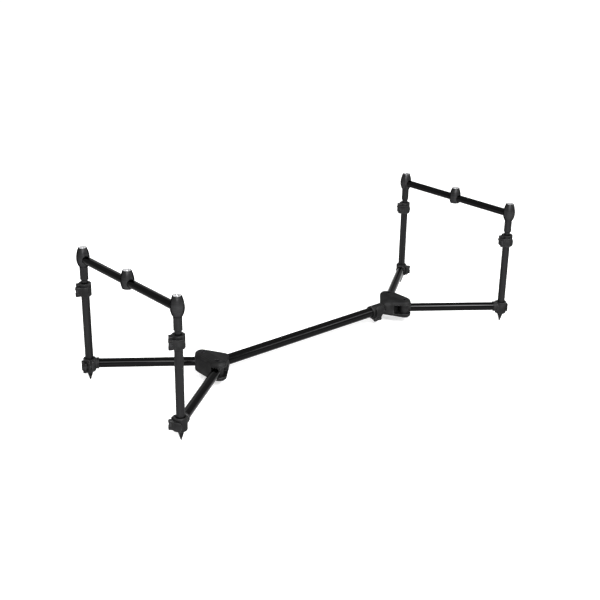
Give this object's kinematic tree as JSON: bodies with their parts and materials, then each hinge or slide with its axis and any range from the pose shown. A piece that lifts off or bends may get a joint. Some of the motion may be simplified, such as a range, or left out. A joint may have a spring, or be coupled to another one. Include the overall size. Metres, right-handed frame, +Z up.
{
  "type": "rod pod",
  "caption": "Folding fishing rod pod: telescopic main bar with hinged legs, cam-locked telescopic uprights on ground spikes, and buzzer bars with threaded heads for rod rests.",
  "frame": {"origin": "on the ground plane at the spike tips, under the middle of the main bar", "axes": "+X along the main bar towards the bar clamp's end, +Y across it to the back, +Z up"},
  "size_m": [0.9181, 0.3469, 0.277],
  "materials": {
    "gloss_black": "gloss black anodised",
    "satin_black": "satin black anodised",
    "cast_black": "moulded, matt black",
    "dark_steel": "blackened",
    "spike_steel": "blackened, turned",
    "bright_steel": "bright, turned"
  },
  "bodies": {
    "base": {"left_hub": "cast_black", "left_pivot_bolts": "dark_steel", "main_bar": "gloss_black", "bar_clamp": "cast_black", "bar_clamp_bolt": "dark_steel"},
    "right_end": {"right_hub": "cast_black", "right_pivot_bolts": "dark_steel", "inner_bar": "gloss_black"},
    "bar_lever": {"bar_clamp_lever": "cast_black"},
    "back_left_leg": {"back_left_leg": "gloss_black", "back_left_knuckle": "cast_black", "back_left_corner_block": "cast_black", "back_left_spike": "spike_steel", "back_left_upright": "satin_black", "back_left_collar": "cast_black", "back_left_clamp_bolts": "dark_steel"},
    "back_left_corner_lever": {"back_left_corner_lever": "cast_black"},
    "back_left_collar_lever": {"back_left_collar_lever": "cast_black"},
    "back_left_post": {"back_left_inner_tube": "satin_black", "back_left_stem": "satin_black", "left_buzzer_bar": "gloss_black", "left_bar_heads": "satin_black", "left_thread_inserts": "bright_steel"},
    "front_left_leg": {"front_left_leg": "gloss_black", "front_left_knuckle": "cast_black", "front_left_corner_block": "cast_black", "front_left_spike": "spike_steel", "front_left_upright": "satin_black", "front_left_collar": "cast_black", "front_left_clamp_bolts": "dark_steel"},
    "front_left_corner_lever": {"front_left_corner_lever": "cast_black"},
    "front_left_collar_lever": {"front_left_collar_lever": "cast_black"},
    "front_left_post": {"front_left_inner_tube": "satin_black", "front_left_stem": "satin_black"},
    "back_right_leg": {"back_right_leg": "gloss_black", "back_right_knuckle": "cast_black", "back_right_corner_block": "cast_black", "back_right_spike": "spike_steel", "back_right_upright": "satin_black", "back_right_collar": "cast_black", "back_right_clamp_bolts": "dark_steel"},
    "back_right_corner_lever": {"back_right_corner_lever": "cast_black"},
    "back_right_collar_lever": {"back_right_collar_lever": "cast_black"},
    "back_right_post": {"back_right_inner_tube": "satin_black", "back_right_stem": "satin_black"},
    "front_right_leg": {"front_right_leg": "gloss_black", "front_right_knuckle": "cast_black", "front_right_corner_block": "cast_black", "front_right_spike": "spike_steel", "front_right_upright": "satin_black", "front_right_collar": "cast_black", "front_right_clamp_bolts": "dark_steel"},
    "front_right_corner_lever": {"front_right_corner_lever": "cast_black"},
    "front_right_collar_lever": {"front_right_collar_lever": "cast_black"},
    "front_right_post": {"front_right_inner_tube": "satin_black", "front_right_stem": "satin_black", "right_buzzer_bar": "gloss_black", "right_bar_heads": "satin_black", "right_thread_inserts": "bright_steel"}
  },
  "joints": [
    {"name": "bar_extend", "type": "slide", "parent": "base", "child": "right_end", "axis": [1, 0, 0], "range_m": [0, 0.28]},
    {"name": "bar_lever_turn", "type": "hinge", "parent": "base", "child": "bar_lever", "pos_m": [0.196, -0.00855, 0.01884], "axis": [1, 0, 0], "range_deg": [0, 95]},
    {"name": "back_left_fold", "type": "hinge", "parent": "base", "child": "back_left_leg", "pos_m": [-0.26, 0.026, 0.036], "axis": [0, 0, -1], "range_deg": [0, 131]},
    {"name": "back_left_corner_lever_turn", "type": "hinge", "parent": "back_left_leg", "child": "back_left_corner_lever", "pos_m": [-0.45351, 0.14772, 0.034], "axis": [0, 0, 1], "range_deg": [0, 150]},
    {"name": "back_left_collar_lever_turn", "type": "hinge", "parent": "back_left_leg", "child": "back_left_collar_lever", "pos_m": [-0.45584, 0.15414, 0.193], "axis": [0, 0, -1], "range_deg": [0, 150]},
    {"name": "back_left_height", "type": "slide", "parent": "back_left_leg", "child": "back_left_post", "axis": [0, 0, 1], "range_m": [0, 0.1]},
    {"name": "front_left_fold", "type": "hinge", "parent": "base", "child": "front_left_leg", "pos_m": [-0.26, -0.026, 0.036], "axis": [0, 0, 1], "range_deg": [0, 131]},
    {"name": "front_left_corner_lever_turn", "type": "hinge", "parent": "front_left_leg", "child": "front_left_corner_lever", "pos_m": [-0.45351, -0.14772, 0.034], "axis": [0, 0, -1], "range_deg": [0, 150]},
    {"name": "front_left_collar_lever_turn", "type": "hinge", "parent": "front_left_leg", "child": "front_left_collar_lever", "pos_m": [-0.45584, -0.15986, 0.193], "axis": [0, 0, -1], "range_deg": [0, 150]},
    {"name": "front_left_height", "type": "slide", "parent": "front_left_leg", "child": "front_left_post", "axis": [0, 0, 1], "range_m": [0, 0.1]},
    {"name": "back_right_fold", "type": "hinge", "parent": "right_end", "child": "back_right_leg", "pos_m": [0.26, 0.026, 0.036], "axis": [0, 0, 1], "range_deg": [0, 131]},
    {"name": "back_right_corner_lever_turn", "type": "hinge", "parent": "back_right_leg", "child": "back_right_corner_lever", "pos_m": [0.45351, 0.14772, 0.034], "axis": [0, 0, -1], "range_deg": [0, 150]},
    {"name": "back_right_collar_lever_turn", "type": "hinge", "parent": "back_right_leg", "child": "back_right_collar_lever", "pos_m": [0.42016, 0.15414, 0.193], "axis": [0, 0, -1], "range_deg": [0, 150]},
    {"name": "back_right_height", "type": "slide", "parent": "back_right_leg", "child": "back_right_post", "axis": [0, 0, 1], "range_m": [0, 0.1]},
    {"name": "front_right_fold", "type": "hinge", "parent": "right_end", "child": "front_right_leg", "pos_m": [0.26, -0.026, 0.036], "axis": [0, 0, -1], "range_deg": [0, 131]},
    {"name": "front_right_corner_lever_turn", "type": "hinge", "parent": "front_right_leg", "child": "front_right_corner_lever", "pos_m": [0.45351, -0.14772, 0.034], "axis": [0, 0, 1], "range_deg": [0, 150]},
    {"name": "front_right_collar_lever_turn", "type": "hinge", "parent": "front_right_leg", "child": "front_right_collar_lever", "pos_m": [0.42016, -0.15986, 0.193], "axis": [0, 0, -1], "range_deg": [0, 150]},
    {"name": "front_right_height", "type": "slide", "parent": "front_right_leg", "child": "front_right_post", "axis": [0, 0, 1], "range_m": [0, 0.1]}
  ],
  "couplings": [
    {"joint": "front_left_height", "follows": "back_left_height", "ratio": 1},
    {"joint": "back_right_height", "follows": "front_right_height", "ratio": 1}
  ]
}
